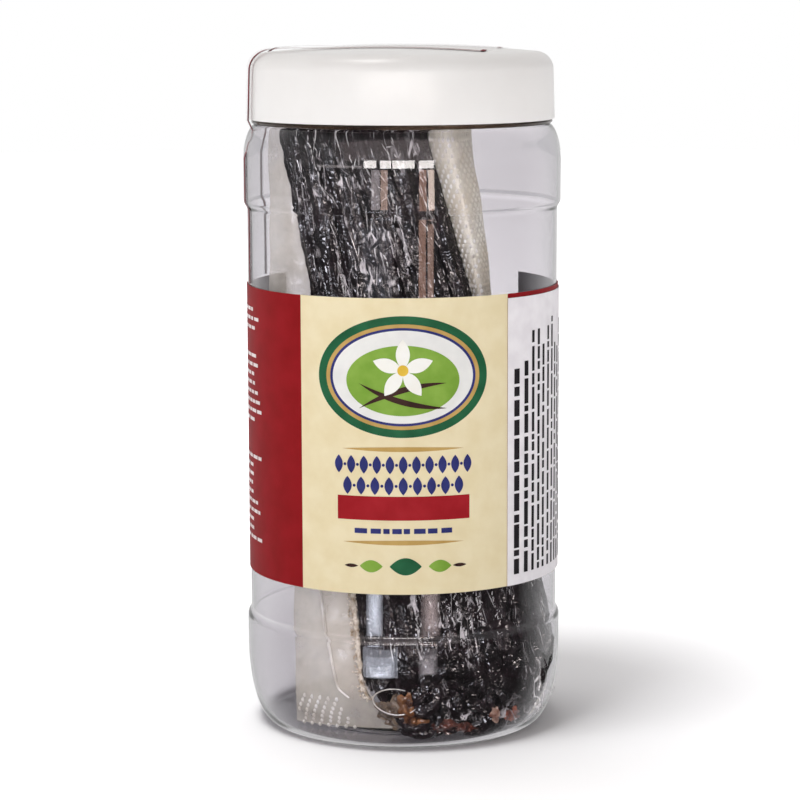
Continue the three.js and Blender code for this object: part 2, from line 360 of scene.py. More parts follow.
def clear_pet():
    """Blow moulded PET: clear, smooth as its mould, faintly wavy. Its lavender grey tint is deeper than the
    PET's own: painted shade that dims the backdrop seen through it.
    """
    material, place = new_material("clear_blow_moulded_pet")
    shader = add(material, "BsdfPrincipled", {
        # The base colour's grey is painted shade, deeper than the PET's own trace of tint.
        "Base Color": linear("#E1DFE2"), "Roughness": 0.02, "IOR": 1.575, "Transmission Weight": 1.0,
        "Normal": bumped(material, place, 60.0, 1.0, 0.08, 0.0006)[1]})
    ray = add(material, "LightPath")
    through = add(material, "BsdfTransparent", {"Color": linear("#BCBBBF")})
    both = add(material, "MixShader", {
        0: ray.outputs["Is Shadow Ray"], 1: shader, 2: through})
    return show(material, both)


def cap_shade_pet():
    """The thick ring of PET under the cap, coloured smoky brown: painted shade of the cap's skirt over it."""
    return finish("pet_painted_with_cap_shade", ("#3A2C25", "#6E5A49", 40.0),
                  {"Roughness": 0.1, "IOR": 1.575, "Transmission Weight": 0.6})


def cap_polypropylene():
    """Injection moulded polypropylene, opaque white: a soft gloss over a very fine moulded grain."""
    material, place = new_material("white_moulded_polypropylene")
    grain, normal = bumped(material, place, 1800.0, 3.0, 0.12, 0.0001)
    rough = add(material, "MapRange", {"Value": grain, "To Min": 0.26, "To Max": 0.36})
    shader = add(material, "BsdfPrincipled", {
        "Base Color": mottled(material, place, "#F4F2F0", "#FAF9F7", 25.0),
        "Roughness": rough, "IOR": 1.49, "Subsurface Weight": 0.15,
        "Subsurface Radius": (0.002, 0.002, 0.002), "Normal": normal})
    return show(material, shader)


def printed(name, low, high, coat=0.02):
    """Ink on polypropylene label film: a colour that mottles a little, under a thin clear varnish."""
    return finish(name, (low, high, 160.0), {
        "Roughness": 0.5, "Specular IOR Level": 0.08, "Coat Weight": coat, "Coat Roughness": 0.3},
        (900.0, 4.0, 0.06, 0.0002))


def coated_paper():
    """Coated white paper: nearly matt, with a faint fibre cloudiness."""
    return finish("coated_sticker_paper", ("#F0ECF1", "#F9F6FA", 220.0), {"Roughness": 0.55},
                  (1400.0, 6.0, 0.1, 0.0002))


def along_pods(material, place, stretch):
    """The place in a frame that leans with the bundle, drawn out along it by the stretch."""
    lean = (math.radians(-7.8), math.radians(-10.7), 0.0)
    node = add(material, "Mapping", {"Vector": place, "Rotation": lean, "Scale": (1.0, 1.0, stretch)},
               vector_type="TEXTURE")
    return node


def pod_skin(name, low, high, wrinkle, ladder):
    """Cured vanilla pod under tight film: near black, a purple tinge, wrinkled lengthwise, wet looking.

    Ladder-like folds cross the wrinkles, so that a highlight breaks up into beads."""
    material, place = new_material(name)
    streaks = add(material, "TexNoise", {
        "Vector": along_pods(material, place, 6.5), "Scale": 480.0, "Detail": 1.5})
    folds = add(material, "TexWave", {
        "Vector": place, "Scale": 200.0, "Distortion": 14.0, "Detail": 1.0, "Detail Scale": 1.6},
        bands_direction="Z")
    deep = add(material, "Bump", {
        "Height": streaks, "Strength": wrinkle, "Distance": 0.0013})
    fine = add(material, "Bump", {
        "Height": folds.outputs["Fac"], "Strength": ladder, "Distance": 0.0003, "Normal": deep})
    shader = add(material, "BsdfPrincipled", {
        "Base Color": mottled(material, place, low, high, 130.0, 6.0),
        "Roughness": 0.5, "Specular IOR Level": 0.15, "Coat Weight": 1.0, "Coat Roughness": 0.08,
        "Coat IOR": 1.5, "Normal": deep, "Coat Normal": fine})
    return show(material, shader)


def torn_skin(name, low, high):
    """Thin torn skin and juice pressed flat by the film: brown to orange, wet."""
    return finish(name, (low, high, 420.0, 4.0), {
        "Roughness": 0.35, "Coat Weight": 0.8, "Coat Roughness": 0.1}, (600.0, 2.0, 0.8, 0.0012, 1.0))


def crease_glint_lines(material, along, place, scale, half_width, strength):
    """A network of thin lines stretched along the pods, broken into dashes: creases of shrunk film, whose
    white is partly painted glint.
    """
    cells = add(material, "TexVoronoi", {"Vector": along, "Scale": scale}, feature="DISTANCE_TO_EDGE")
    line = add(material, "MapRange", {
        "Value": cells, "From Min": half_width * 0.3, "From Max": half_width,
        "To Min": strength, "To Max": 0.0})
    dashes = add(material, "TexNoise", {"Vector": place, "Scale": 300.0, "Detail": 1.0})
    gaps = add(material, "MapRange", {"Value": dashes, "From Min": 0.46, "From Max": 0.52})
    return add(material, "Math", {
        0: line, 1: gaps}, operation="MULTIPLY")


def hugging_film():
    """Clear vacuum film drawn tight over the pods: it shows only along its stretched creases, whose white is
    partly the film's own and partly painted glint.
    """
    material, place = new_material("clear_vacuum_film_with_painted_glints")
    wander = add(material, "TexNoise", {"Vector": place, "Scale": 150.0, "Detail": 2.0})
    shift = add(material, "VectorMath", {
        0: wander.outputs["Color"], 1: (0.0014, 0.0014, 0.0)}, operation="MULTIPLY")
    moved = add(material, "VectorMath", {0: place, 1: shift}, operation="ADD")
    along = along_pods(material, moved, 6.0)
    coarse = crease_glint_lines(material, along, place, 330.0, 0.055, 0.8)
    fine = crease_glint_lines(material, along, place, 700.0, 0.08, 0.3)
    both = add(material, "Math", {0: coarse, 1: fine}, operation="ADD")
    # Patches in which the creases show, where the painted glints fall.
    zones = add(material, "TexNoise", {"Vector": place, "Scale": 75.0, "Detail": 2.0})
    seen = add(material, "MapRange", {
        "Value": zones, "From Min": 0.48, "From Max": 0.66, "To Min": 0.02, "To Max": 1.0})
    # The crease mask gives the film's white lines: partly its own creases, partly painted glints.
    crease = add(material, "Math", {
        0: both, 1: seen}, operation="MULTIPLY")
    shader = add(material, "BsdfPrincipled", {
        "Base Color": linear("#F0ECF0"), "Roughness": 0.2, "Specular IOR Level": 0.6,
        "Alpha": crease})
    return show(material, shader)


def highlit_fold_film():
    """Folded and welded edges of the film, where it is thick: milky and glossy, its near white partly painted
    highlight.
    """
    return finish("milky_folded_film_painted_highlight", ("#DCD6CE", "#FFFFFF", 200.0, 3.0),
                  {"Roughness": 0.25, "Coat Weight": 0.5, "Coat Roughness": 0.05})


def speckled_film():
    """The crumpled edge of the fold beside the pods: cream film with brown specks of their juice."""
    return finish("speckled_folded_film", ("#9A8468", "#FBF2E4", 700.0, 3.0),
                  {"Roughness": 0.35, "Coat Weight": 0.4, "Coat Roughness": 0.1})


def crease_glint_film():
    """Sharp creases of the shrunk film: silvery, some bright and some dim, their white painted glint where
    they would catch the light.
    """
    return finish("bright_film_creases", ("#7E777C", "#FFFFFF", 300.0, 3.0),
                  {"Roughness": 0.2, "Coat Weight": 0.6, "Coat Roughness": 0.05})


def pouch_film(name, low, high, opacity):
    """Heavy vacuum pouch film, cream and cloudy, crumpled, a little translucent."""
    material, place = new_material(name)
    cloud, crumple = bumped(material, place, 110.0, 4.0, 0.5, 0.002)
    veil = add(material, "MapRange", {
        "Value": cloud, "From Min": 0.3, "From Max": 0.7,
        "To Min": opacity - 0.15, "To Max": opacity + 0.12})
    shader = add(material, "BsdfPrincipled", {
        "Base Color": mottled(material, place, low, high, 70.0), "Roughness": 0.25,
        "Alpha": veil, "Normal": crumple})
    return show(material, shader)


def seal_film():
    """Clear seal film, glossy and thin; it shows as a faint pinkish veil."""
    return finish("clear_seal_film", ("#EBE4E6", "#F4F0F1", 60.0), {"Roughness": 0.12, "Alpha": 0.06},
                  (120.0, 2.0, 0.2, 0.001))


def floor_paper():
    """Matt white studio paper; its own glow takes over away from the lamps, so that it stays white.

    Reflected rays pass through it, so that the jar doesn't mirror it over its dark contents."""
    material, place = new_material("white_floor_paper")
    distance = add(material, "VectorMath", {0: place}, operation="LENGTH")
    glow = add(material, "MapRange", {
        "Value": distance.outputs["Value"], "From Min": 0.1, "From Max": 0.6,
        "To Min": 0.04, "To Max": 1.02})
    paper = add(material, "BsdfPrincipled", {
        "Base Color": linear("#F2F2F3"), "Roughness": 0.9, "Emission Color": linear("#FFFFFF"),
        "Emission Strength": glow})
    clear = add(material, "BsdfTransparent")
    shader = add(material, "MixShader", {
        0: mirrored(material), 1: paper, 2: clear})
    return show(material, shader)


def mirrored(material):
    """1 for a ray that a glossy surface has turned back on its way, and 0 for any other."""
    depth = add(material, "LightPath").outputs["Glossy Depth"]
    return add(material, "Math", {0: depth, 1: 1.0}, operation="MINIMUM")


def surround_paper():
    """A backlit sweep, white to the eye; in reflections its front is a dim band below a dark top."""
    material, place = new_material("backlit_surround_paper")
    axes = add(material, "SeparateXYZ", {"Vector": place})
    rise = add(material, "MapRange", {
        "Value": axes.outputs["Z"], "From Min": -0.15, "From Max": 0.25, "To Min": 0.04, "To Max": 0.25})
    fall = add(material, "MapRange", {
        "Value": axes.outputs["Z"], "From Min": 1.8, "From Max": 2.3, "To Min": 1.0, "To Max": 0.4})
    front = add(material, "Math", {
        0: rise, 1: fall}, operation="MULTIPLY")
    behind = add(material, "MapRange", {"Value": axes.outputs["Y"], "From Min": 0.2, "From Max": 1.6})
    seen = add(material, "Mix", {0: behind, 2: front, 3: 0.7})
    glow = add(material, "Mix", {0: mirrored(material), 2: 1.0, 3: seen})
    shader = add(material, "Emission", {"Color": linear("#FFFFFF"), "Strength": glow})
    return show(material, shader)


# Jar and cap

def arc(from_r, from_z, to_r, to_z, steps):
    """Points of a quarter ellipse that leaves its first point level and meets its last upright."""
    u = np.linspace(0, np.pi / 2, steps)
    return np.stack([mix(from_r, to_r, np.sin(u)), mix(to_z, from_z, np.cos(u))], -1)


def step(from_r, from_z, to_r, to_z, steps=14):
    """Points of a smooth S from one radius and height to another."""
    u = np.linspace(0, 1, steps)
    return np.stack([mix(from_r, to_r, smooth(u)), mix(from_z, to_z, u)], -1)


def shoulder(from_r, to_r, to_z):
    """Points of a quarter ellipse that leaves the wall upright and turns in towards the neck."""
    u = np.linspace(0, 0.47 * np.pi, 26)
    rise = to_z - SHOULDER_LOW_Z
    return np.stack([mix(to_r, from_r, np.cos(u)), SHOULDER_LOW_Z + rise * np.sin(u)], -1)


def straight(r, from_z, to_z):
    """An upright run between two curves, with points close to its ends so that its shading stays upright."""
    return np.array([[r, z] for z in (from_z + 0.25, from_z + 0.5, to_z - 0.5, to_z - 0.25)])


def wall_profile(inset, top_z):
    """The jar's wall above its heel, at a distance inside its outer face."""
    bumper, band = BUMPER_R - inset, BAND_R - inset
    half = STEP_H / 2
    return np.concatenate([
        straight(bumper, HEEL_H, LOW_STEP_Z - half),
        step(bumper, LOW_STEP_Z - half, band, LOW_STEP_Z + half),
        straight(band, LOW_STEP_Z + half, HIGH_STEP_Z - half),
        step(band, HIGH_STEP_Z - half, bumper, HIGH_STEP_Z + half),
        straight(bumper, HIGH_STEP_Z + half, SHOULDER_LOW_Z),
        shoulder(bumper, NECK_R - inset, SHOULDER_HIGH_Z),
        [[NECK_R - inset, top_z - 0.3]],
    ])


def make_jar():
    """The outer profile and the inner one, a wall's thickness inside it, turned as one closed shell."""
    top_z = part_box("jar")[1].z / MM
    outer = np.concatenate([
        [[0, RECESS_H], [RECESS_R - 2.5, RECESS_H]],
        step(RECESS_R - 1.8, RECESS_H, RECESS_R + 0.6, 0, 8),
        [[FOOT_R - 1, 0]],
        arc(FOOT_R, 0, BUMPER_R, HEEL_H, 30),
        wall_profile(0, top_z),
    ])
    floor_z = FLOOR_THICK
    inner = np.concatenate([
        [[0, floor_z + RECESS_H], [RECESS_R - 3.5, floor_z + RECESS_H]],
        step(RECESS_R - 2.5, floor_z + RECESS_H, RECESS_R, floor_z, 8),
        arc(FOOT_R - WALL / 2, floor_z, BUMPER_R - WALL, HEEL_H, 28),
        wall_profile(WALL, top_z),
    ])
    rim = [[NECK_R - 0.2, top_z], [NECK_R - WALL + 0.2, top_z]]
    profile = np.concatenate([outer, rim, inner[::-1]])
    return piece("jar_wall", [tube(turned(profile))], [clear_pet()], ["jar"])


def make_neck_bead():
    """A small half-round ring on the neck between the shoulder and the cap's open edge, smoky brown as
    painted shade under the cap.
    """
    u = np.linspace(-np.pi / 2, np.pi / 2, 9)
    bulge = np.stack([NECK_R + 0.3 + 1.5 * np.cos(u), BEAD_Z + 0.75 * np.sin(u)], -1)
    inner = [[NECK_R + 0.05, BEAD_Z + 0.7], [NECK_R + 0.05, BEAD_Z - 0.7]]
    ring = turned(np.concatenate([bulge, inner]))
    rows, columns = ring.shape[:2]
    quads = grid_quads(rows + 1, columns, True) % (rows * columns)
    shell = outward((ring.reshape(-1, 3), quads, np.zeros((0, 3), int)))
    piece("neck_bead", [shell], [cap_shade_pet()])


def crown(r, depth=0.0):
    """The cap's gently domed top at a radius: a parabola, lowered by the depth below the outer face."""
    return CAP_TOP_Z - depth - r * r / (2 * CAP_DOME_R)


def cap_face(depth, bottom_z):
    """A face of the cap at a depth inside its outer one, from its open edge to its middle.

    It is a skirt that leans in by the draft, a quarter circle at the corner, and the crown."""
    top_r = CAP_R - CAP_DRAFT - depth
    bend = CAP_CORNER - depth
    corner_r = top_r - bend
    corner_z = crown(corner_r, depth) - bend
    u = np.linspace(0, np.pi / 2, 16)
    corner = np.stack([corner_r + bend * np.cos(u), corner_z + bend * np.sin(u)], -1)
    r = np.linspace(corner_r - 1, 0, 14)
    return np.concatenate([[[CAP_R - depth, bottom_z]], corner, np.stack([r, crown(r, depth)], -1)])


def make_cap():
    """The outer face and the inner one, joined by a small rounded edge at the bottom."""
    inner = cap_face(CAP_WALL, CAP_BOTTOM_Z + 0.3)
    outer = cap_face(0, CAP_BOTTOM_Z + 0.35)
    edge = [[CAP_R - CAP_WALL + 0.3, CAP_BOTTOM_Z], [CAP_R - 0.35, CAP_BOTTOM_Z],
            [CAP_R - 0.1, CAP_BOTTOM_Z + 0.1]]
    profile = np.concatenate([inner[::-1], edge, outer])
    piece("screw_cap", [tube(turned(profile))], [cap_polypropylene()], ["cap"])


# Label and sticker

def wrapped(angles, low, high, radius, thick):
    """A sheet round the jar at these angles, as a closed slab whose outer face has the given radius."""
    z = np.linspace(low, high, 4)
    return slab(on_round(angles[None, :], z[:, None], radius - thick / 2), thick)


def angles_between(*stops):
    """Angles in equal steps of about a degree and a half from each stop to the next."""
    spans = [np.linspace(a, b, max(2, int(abs(b - a) / 0.026)), endpoint=False)
             for a, b in zip(stops, stops[1:])]
    return np.concatenate(spans + [[stops[-1]]])


def make_label():
    """A sheet from one end angle to the other.

    Paint tells its front panel and its sides by their angle, and its reverse by its radius."""
    angles = angles_between(-LABEL_HALF_ANGLE, PANEL_FROM, 0, PANEL_TO, LABEL_HALF_ANGLE)

    def paint(middle):
        angle = np.arctan2(middle[:, 0], -middle[:, 1])
        inside = np.hypot(middle[:, 0], middle[:, 1]) < LABEL_R - LABEL_THICK * 0.8
        front = (angle > PANEL_FROM) & (angle < PANEL_TO)
        return np.where(inside, np.where(angle < 0.4, 2, 3), np.where(front, 0, 1))

    materials = [
        printed("cream_printed_film", "#EEDFB6", "#F4E7C2"),
        printed("dark_red_printed_film", "#8E0810", "#9A0E18"),
        printed("reverse_of_red_film", "#9A8580", "#A79390", 0.0),
        # The reverse of the white film is grey: its show-through and painted shade.
        printed("reverse_of_white_film_painted_shade", "#A6A3A8", "#B1AEB3", 0.0),
    ]
    shell = wrapped(angles, LABEL_LOW_Z, LABEL_HIGH_Z, LABEL_R, LABEL_THICK)
    return piece("wrap_label", [shell], materials, ["label"], paint)


def make_sticker():
    """A paper sheet over the label's right-hand panel, a little lower than the label's top edge."""
    angles = angles_between(PANEL_TO, 1.5, STICKER_TO)
    shell = wrapped(angles, LABEL_LOW_Z, LABEL_HIGH_Z - 1.2, STICKER_R, 0.2)
    piece("side_sticker_sheet", [shell], [coated_paper()], ["side_sticker"])


def ribbon(spine, half_width, radius, lift, across=5):
    """Printed ink as a raised slab: a line of (round, up) points in mm on the label, widened each way."""
    spine = np.asarray(spine, float)
    half_width = np.broadcast_to(half_width, len(spine))
    direction = unit(np.gradient(spine, axis=0))
    side = np.stack([-direction[:, 1], direction[:, 0]], -1)
    share = np.linspace(-1, 1, across)
    flat = spine[:, None, :] + side[:, None, :] * (half_width[:, None] * share)[:, :, None]
    return slab(on_round(flat[..., 0] / radius, LABEL_LOW_Z + flat[..., 1], radius + lift), INK_THICK)


def lozenges(u, v, length, half_height, count):
    """A row of upright leaf shapes with a dot between neighbours, a plain border ornament."""
    places = np.linspace(u, u + length, count)
    shells = [lens(x, v, half_height, 0.36 * length / count, math.pi / 2, steps=14) for x in places]
    between = (places[1:] + places[:-1]) / 2
    return shells + [oval(x, v, 0.42, 0.42, INK_LIFT, 12) for x in between]


def oval(u, v, half_u, half_v, lift, steps=72):
    """A filled ellipse as a ribbon along its longer axis: place by cosine, half width by sine."""
    angle = np.linspace(0.03, np.pi - 0.03, steps)
    spine = np.stack([u - half_u * np.cos(angle), np.full(steps, v)], -1)
    return ribbon(spine, half_v * np.sin(angle), LABEL_R, lift, 9)


def lens(u, v, half_length, half_width, turn=0.0, lift=INK_LIFT, bend=0.0, steps=24):
    """A pointed leaf shape, whose half width and bend fall with the square of the way from its middle."""
    s = np.linspace(-0.99, 0.99, steps)
    x, y = rotated(s * half_length, bend * (1 - s * s), turn)
    spine = np.stack([u + x, v + y], -1)
    return ribbon(spine, half_width * (1 - s * s), LABEL_R, lift)


def bar(u, v, length, half_width, upright=False, radius=LABEL_R):
    """A plain bar of ink that starts at a point and runs round the label or up it."""
    steps = 3 if upright else max(3, int(length / 2) + 2)
    run = np.linspace(0, length, steps)
    still = np.zeros(steps)
    spine = np.stack([u + still, v + run] if upright else [u + run, v + still], -1)
    return ribbon(spine, half_width, radius, INK_LIFT, 2)


def lines_of_bars(random, u, v, length, half_width, shortest, longest, **more):
    """A row of short bars with gaps, as a line of small print looks from a step away."""
    bars, done = [], 0.0
    while done < length - shortest:
        run = min(random.uniform(shortest, longest), length - done)
        place = (u, v + done) if more.get("upright") else (u + done, v)
        bars.append(bar(*place, run, half_width, **more))
        done += run + random.uniform(0.5, 1.1)
    return bars


def make_medallion():
    """A green oval with a pale field, a five-petalled flower and two crossed pods, as ovals and lenses."""
    u, v = 0.0, 60.0
    inks = {
        "green": [oval(u, v, 24.0, 16.6, 0.02)],
        "gold": [oval(u, v, 21.6, 14.4, 0.05)],
        "blue": [oval(u, v, 20.4, 13.4, 0.08)],
        "pale": [oval(u, v, 19.6, 12.7, 0.11)],
        "leaf": [oval(u, v - 1.0, 15.6, 9.6, 0.14)],
        "brown": [lens(u, v - 5.2, 12.5, 0.8, math.radians(turn), 0.17, 1.6) for turn in (16, 164)],
        "petal": [lens(u + 4.3 * math.cos(turn), v + 1.8 + 4.3 * math.sin(turn), 4.2, 1.9, turn, 0.2)
                  for turn in np.radians(90 + 72 * np.arange(5))],
        "yellow": [oval(u, v + 1.8, 1.5, 1.5, 0.23, 24)],
    }
    return inks


def make_front_print():
    """The front panel: medallion, swelled rules, rows of dark blue bars, a red band, small lozenges."""
    random = np.random.default_rng(5)
    inks = make_medallion()
    for v in (40.2, 14.4):
        inks["gold"].append(lens(0.0, v, 17.0, 0.65))
    inks["blue"] += lozenges(-18.0, 35.9, 36.0, 2.5, 11)
    inks["blue"] += lozenges(-15.5, 30.1, 31.0, 2.5, 9)
    inks["blue"] += lines_of_bars(random, -13.5, 17.6, 27.0, 0.7, 1.6, 4.0)
    inks["red"] = [bar(-18.4, 23.9, 37.0, 3.3)]
    inks["leaf"] += [lens(x, 7.8, 3.2, 1.7) for x in (-8.9, 10.1)]
    inks["green"] += [lens(0.6, 7.8, 4.4, 2.4)]
    inks["brown"] += [lens(x, 7.8, 2.0, 0.5) for x in (-14.5, 15.7)]
    colours = {
        "green": ("#1F5C3C", "#286A46"), "gold": ("#BE9A56", "#CDAA66"), "blue": ("#2C3170", "#383D80"),
        "pale": ("#ECECEA", "#F4F4F1"), "leaf": ("#7DA63C", "#8FB64C"), "brown": ("#3A2320", "#4A302A"),
        "petal": ("#FBFAF2", "#FFFFFA"), "yellow": ("#E3B93A", "#EFC94C"), "red": ("#A0141F", "#AC1D28"),
    }
    for ink, shells in inks.items():
        piece("print_" + ink, shells, [printed("ink_" + ink, *colours[ink])])


def make_side_print():
    """Rows of bars up the sticker, and short rows across the dark red panel."""
    random = np.random.default_rng(11)
    radius = STICKER_R
    dark, u = [], PANEL_TO * radius + 3.4
    sizes = [1.05, 0.85] + [0.6] * 12
    for size in sizes:
        length = random.uniform(0.75, 0.97) * 74
        dark += lines_of_bars(random, u, 3.0, length, size, 1.5, 7.0, upright=True, radius=radius)
        u += size * 2 + random.uniform(1.5, 2.2)
    ink = printed("ink_black_on_paper", "#221F22", "#2E2A2E", 0.0)
    piece("print_on_sticker", dark, [ink])
    pale = []
    for v in np.concatenate([np.arange(70, 76, 2.6), np.arange(44, 64, 2.6), np.arange(10, 34, 2.6)]):
        start = -math.radians(95) * LABEL_R
        pale += lines_of_bars(random, start, v, random.uniform(17, 25), 0.5, 1.5, 5.0)
    piece("print_on_red", pale, [printed("ink_white", "#E9DADA", "#F3E8E8")])


# Seal strip

def strip_side():
    """The strip's profile up the side: it dips in below the cap, and stands a little off the cap's skirt."""
    band, bumper = BAND_R + SKIN_GAP + 0.1, BUMPER_R + SKIN_GAP + 0.1
    half = STEP_H / 2
    return np.concatenate([
        [[band, LABEL_HIGH_Z + 0.6], [band, (LABEL_HIGH_Z + HIGH_STEP_Z) / 2]],
        step(band, HIGH_STEP_Z - half, bumper, HIGH_STEP_Z + half),
        [[bumper, (HIGH_STEP_Z + SHOULDER_LOW_Z) / 2]],
        step(bumper, SHOULDER_LOW_Z + 1, BUMPER_R - 2.4, SHOULDER_HIGH_Z - 2.5, 8),
        [[(BUMPER_R - 2.4 + CAP_R + STRIP_SLACK) / 2, SHOULDER_HIGH_Z - 0.9]],
        cap_face(-STRIP_SLACK, CAP_BOTTOM_Z)[:17],
    ])


def make_strip():
    """Up the jar's side and over the cap: across the strip it is straight, along it follows the profile.

    Each point is where a line across the jar, turned a little askew, meets the circle of the profile's
    radius on the left side; on the cap's top it runs on along that line at the height of the crown."""
    line, margin, edge = 1.2, 1.0, STRIP_WIDTH / 2
    q = np.concatenate([
        [-edge, -edge + margin], np.linspace(-edge + margin + line, edge - margin - line, 14),
        [edge - margin, edge]])
    along = np.array([math.cos(STRIP_TURN), math.sin(STRIP_TURN)])
    across = np.array([-along[1], along[0]])
    start = np.array([-BUMPER_R, STRIP_Y]) + q[:, None] * across
    b = start @ along
    c = (start ** 2).sum(1)
    r, z = strip_side().T
    p = -b - np.sqrt(np.maximum(b ** 2 - c + r[:, None] ** 2, 0))
    wall = joined(start[:, 0] + p * along[0], start[:, 1] + p * along[1], z[:, None])
    stop = STRIP_LENGTH - margin
    p_top = mix(p[-1], stop - line, np.linspace(0, 1, 26)[1:, None])
    p_top = np.concatenate([p_top, np.full((1, len(q)), stop), np.full((1, len(q)), STRIP_LENGTH)])
    x = start[:, 0] + p_top * along[0]
    y = start[:, 1] + p_top * along[1]
    lift = mix(STRIP_SLACK, SKIN_GAP + 0.1, smooth(np.linspace(0, 4, len(x))))[:, None]
    top = np.stack([x, y, crown(np.hypot(x, y)) + lift], -1)
    grid = np.concatenate([wall, top])

    def paint(middle):
        local = middle[:, :2] - np.array([-BUMPER_R, STRIP_Y])
        s, t = local @ along, np.abs(local @ across)
        border = (t > edge - margin - line) & (t < edge - margin)
        end = (s > stop - line) & (s < stop) & (t > edge - 7) & (t < edge - margin)
        beyond = s > stop
        return np.where((border & ~beyond) | end, 1, 0)

    ink = printed("ink_on_seal_film", "#760E1C", "#8E1A2A")
    piece("seal_film_strip", [slab(grid, 0.2)], [seal_film(), ink], ["seal_strip"], paint)


# Bundle of pods

def section(z):
    """The middle, half sizes and turn of the bundle's oval section at each height.

    The middle follows a straight leaning line with half a sine wave of belly. The width narrows evenly
    upwards, the turn fades out upwards, and the foot rounds off as a root of the square below it."""
    rise = np.clip(z / BUNDLE_HIGH_Z, 0, 1)
    below = np.maximum(0, BUNDLE_LOW_Z + BUNDLE_ROUND_H - z) / BUNDLE_ROUND_H
    full = np.sqrt(np.maximum(0.4, 1 - 0.6 * below ** 2))
    x = BUNDLE_FOOT_X + BUNDLE_LEAN * z + BUNDLE_BELLY * np.sin(np.pi * rise)
    y = mix(BUNDLE_FRONT_Y, BUNDLE_BACK_Y, rise)
    half_width = (BUNDLE_HALF_WIDTH - BUNDLE_NARROWING * z) * full
    return x, y, half_width, BUNDLE_HALF_DEPTH * full, BUNDLE_TURN * (1 - rise)


def in_bundle(angle, z, inset):
    """Points at an angle round the oval section, at a depth inside it: an ellipse, turned and moved."""
    x, y, half_width, half_depth, turn = section(z)
    u, v = rotated(np.cos(angle) * (half_width - inset), np.sin(angle) * (half_depth - inset), turn)
    return joined(x + u, y + v, z)


def out_of_bundle(angle, z):
    """Level directions straight out of the oval section: cosine and sine over its half sizes, turned."""
    _, _, half_width, half_depth, turn = section(z)
    u, v = rotated(np.cos(angle) / half_width, np.sin(angle) / half_depth, turn)
    return unit(joined(u, v, 0.0))


def pod(path, out, half_width, half_thick, seed, columns=26):
    """A wrinkled, flattened pod along a path.

    Each ring is an oval whose radius carries seven lengthwise ridges that drift round the pod, and
    slower lumps. The ends narrow by a root of the distance to the tip."""
    random = np.random.default_rng(seed)
    rows = len(path)
    along = np.gradient(path, axis=0)
    length = np.linalg.norm(along, axis=1)
    distance = np.cumsum(length)
    along /= length[:, None]
    out = unit(out - along * (out * along).sum(1, keepdims=True))
    side = np.cross(along, out)
    t = np.linspace(0, 1, rows)[:, None]
    ends = np.minimum(1, np.minimum(distance, distance[-1] - distance) / 5.0) ** 0.6
    angle = round_angles(columns)[None, :]
    drift = 1.5 * np.sin(2 * np.pi * (2.2 * t + random.uniform())) + random.uniform(0, 6)
    ridges = 0.11 * np.sin(7 * angle + drift) + 0.05 * np.sin(4 * angle - 1.7 * drift)
    lumps = 0.09 * ripples(distance[:, None], 3 * angle, 9.0, 6, seed + 1)
    kinks = 0.05 * ripples(distance[:, None], 2 * angle, 3.0, 6, seed + 2)
    full = (1 + ridges + lumps + kinks) * np.maximum(ends, 0.12)[:, None]
    wide = (half_width * np.cos(angle) * full)[..., None] * side[:, None, :]
    thick = (half_thick * np.sin(angle) * full)[..., None] * out[:, None, :]
    return tube(path[:, None, :] + wide + thick)


def long_pods():
    """Pods evenly round the outside of the bundle, each with its lower tip hooked aside.

    Two sine waves bend each pod's angle along its length, and a third one moves it in and out."""
    random = np.random.default_rng(7)
    rows = 130
    t = np.linspace(0, 1, rows)
    made = []
    for i in range(POD_COUNT):
        start = (i + 0.35 * random.uniform()) / POD_COUNT * 2 * np.pi
        low, high = BUNDLE_LOW_Z + random.uniform(2, 12), BUNDLE_HIGH_Z - random.uniform(0, 13)
        hook = smooth((t - 0.9) / 0.1)
        angle = start + random.uniform(0.06, 0.16) * np.sin(random.uniform(0, 6) + 5 * t)
        angle = angle + 0.022 * np.sin(random.uniform(0, 6) + 26 * t) + random.uniform(-0.45, 0.45) * hook
        z = mix(high, low, t) + random.uniform(0, 7) * hook
        inset = POD_HALF_THICK + 0.25 * np.sin(random.uniform(0, 6) + 9 * t) - 0.6 * hook
        size = random.uniform(0.86, 1.16)
        made.append(pod(in_bundle(angle, z, inset), out_of_bundle(angle, z), POD_HALF_WIDTH * size,
                        POD_HALF_THICK * size, 100 + 5 * i))
    return made


def curled_paths():
    """Short curled pod ends over the front of the bundle's foot, as arcs of circles tilted at random.

    Each comes as its path, its outward directions and its half thickness."""
    random = np.random.default_rng(31)
    made = []
    for i in range(64):
        across = mix(-0.8, 0.95, (i * 0.381966) % 1.0)
        z = BUNDLE_LOW_Z + 27 * random.uniform() ** 1.3
        angle = np.array(-np.arccos(np.clip(across, -1, 1)))
        radius = random.uniform(2.0, 5.5)
        thick = random.uniform(1.0, 1.7)
        middle = in_bundle(angle, np.array(z), thick - random.uniform(0.2, 2.4))
        out = out_of_bundle(angle, np.array(z))
        level = np.cross([0, 0, 1], out)
        sweep = np.linspace(0, random.uniform(1.5, 3.8), 46) + random.uniform(0, 2 * np.pi)
        tilt = random.uniform(-0.5, 0.35)
        ring = level * np.cos(sweep)[:, None] + np.array([0, 0, 1]) * np.sin(sweep)[:, None]
        path = middle + radius * ring + out * (tilt * radius * np.sin(sweep))[:, None]
        path[:, 2] = np.maximum(path[:, 2], 1.6 + thick)
        made.append((inside_jar(path, thick + 0.8), np.broadcast_to(out, path.shape), thick))
    return made


def inside_jar(points, clearance):
    """Points drawn in towards the axis where they come nearer than the clearance to the jar's wall.

    Below the heel's top the wall's radius follows a quarter ellipse."""
    share = np.clip(1 - (points[..., 2] - FLOOR_THICK) / (HEEL_H - FLOOR_THICK), 0, 1)
    wall = mix(FOOT_R, BUMPER_R - 1, np.sqrt(1 - share ** 2)) - WALL - clearance
    distance = np.hypot(points[..., 0], points[..., 1])
    keep = np.minimum(1, wall / distance)
    return points * np.stack([keep, keep, np.ones_like(keep)], -1)


